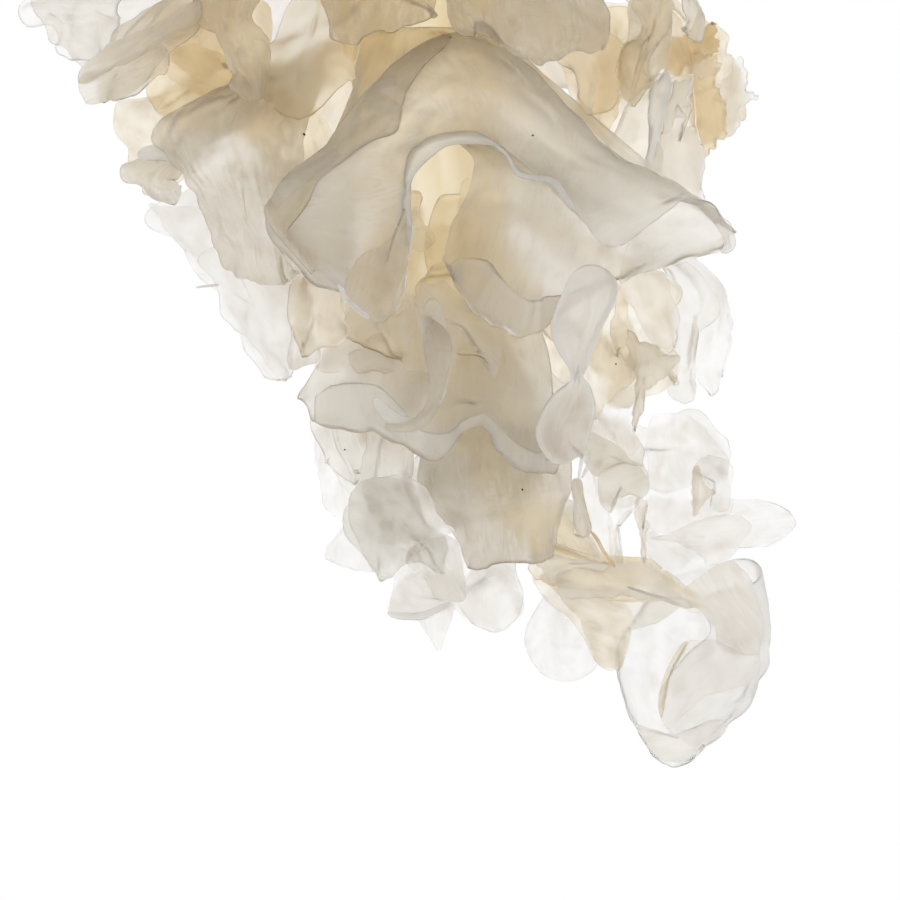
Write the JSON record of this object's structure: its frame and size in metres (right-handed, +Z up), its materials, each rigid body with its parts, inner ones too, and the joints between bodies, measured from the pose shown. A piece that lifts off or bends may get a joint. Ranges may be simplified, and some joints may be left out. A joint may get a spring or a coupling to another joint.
{
  "type": "snow fungus",
  "caption": "Soaked snow fungus: a loose cluster of thin, translucent, ruffled gel fronds rising from a rough cut foot, with an arched frond in front and a cup at the tip.",
  "frame": {"origin": "middle of the cut face of the foot, which rests on the surface below", "axes": "+Z up from the cut foot to the tip, -Y towards the side with the big arched frond"},
  "size_m": [0.0974, 0.0851, 0.1204],
  "materials": {
    "pale_gel": "soaked translucent gel, pale cream",
    "grey_gel": "soaked translucent gel, grey beige",
    "yellow_gel": "soaked translucent gel, warm yellow",
    "foot_flesh": "rough, dense orange-yellow cut foot"
  },
  "bodies": {
    "root": {"foot": "foot_flesh", "arch_frond": "grey_gel", "back_frond_01": "grey_gel", "back_frond_02": "grey_gel", "back_frond_03": "grey_gel", "back_frond_04": "grey_gel", "back_frond_05": "pale_gel", "back_frond_06": "pale_gel", "back_frond_07": "yellow_gel", "back_frond_08": "yellow_gel", "back_frond_09": "pale_gel", "back_frond_10": "pale_gel", "back_frond_11": "yellow_gel", "back_frond_12": "yellow_gel", "back_frond_13": "pale_gel", "back_frond_14": "pale_gel", "back_frond_15": "grey_gel", "beige_frond": "pale_gel", "bottom_petal": "pale_gel", "brown_fold_frond": "yellow_gel", "cream_frond": "yellow_gel", "curling_strip": "grey_gel", "far_left_frond": "pale_gel", "inner_lip_frond": "grey_gel", "inner_petal": "yellow_gel", "left_back_frond": "yellow_gel", "left_pale_frond": "pale_gel", "left_panel_frond": "yellow_gel", "left_shoulder_frond": "yellow_gel", "left_small_lobe": "grey_gel", "left_tongue_frond": "grey_gel", "lower_frond": "grey_gel", "lower_left_lobe": "grey_gel", "lower_left_petal": "pale_gel", "pale_left_lobe": "pale_gel", "pocket_frond": "yellow_gel", "pointed_petal": "pale_gel", "ribbon_frond": "pale_gel", "right_arch_petal": "pale_gel", "right_arm_frond": "pale_gel", "right_outer_frond": "pale_gel", "right_pale_frond": "pale_gel", "right_ragged_frond": "pale_gel", "right_shoulder_frond": "yellow_gel", "right_tongue_frond": "yellow_gel", "right_top_lobe": "grey_gel", "rough_edge_frond": "yellow_gel", "round_lobe": "pale_gel", "spike_petal": "pale_gel", "tan_left_frond": "yellow_gel", "tan_lobe": "yellow_gel", "tip_bridge_frond": "yellow_gel", "tip_cup_frond": "pale_gel", "top_grey_lobe": "grey_gel", "top_left_lobe": "grey_gel", "wavy_frond": "grey_gel", "window_petal": "pale_gel", "wrinkled_frond": "grey_gel"}
  },
  "joints": []
}
